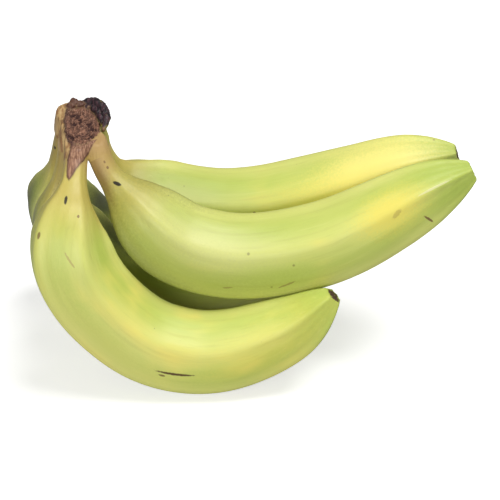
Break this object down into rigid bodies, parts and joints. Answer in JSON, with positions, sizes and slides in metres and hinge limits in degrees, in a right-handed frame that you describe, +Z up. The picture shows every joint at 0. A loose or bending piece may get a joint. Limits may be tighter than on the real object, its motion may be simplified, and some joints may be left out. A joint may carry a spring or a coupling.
{
  "type": "hand of bananas",
  "caption": "Hand of green-yellow dessert bananas joined at a cut brown crown, lying on its outer curve.",
  "frame": {"origin": "on the surface the hand lies on, under the middle of its box", "axes": "+X from the crown towards the blossom ends, +Y across the hand from the front outer finger to the back one, +Z up"},
  "size_m": [0.1905, 0.1114, 0.1095],
  "materials": {
    "peel": "smooth waxy banana peel with a low satin sheen, light yellow-green with yellower ridges, greener tips and hollows, fine brown freckles and a few dark scuffs",
    "cut_crown": "dry fibrous brown cut face with a curled blackish rim, on a tan-yellow pad"
  },
  "bodies": {
    "root": {"crown": "cut_crown", "finger_outer_front": "peel", "finger_outer_middle": "peel", "finger_outer_back": "peel", "finger_inner_front": "peel", "finger_inner_back": "peel"}
  },
  "joints": []
}
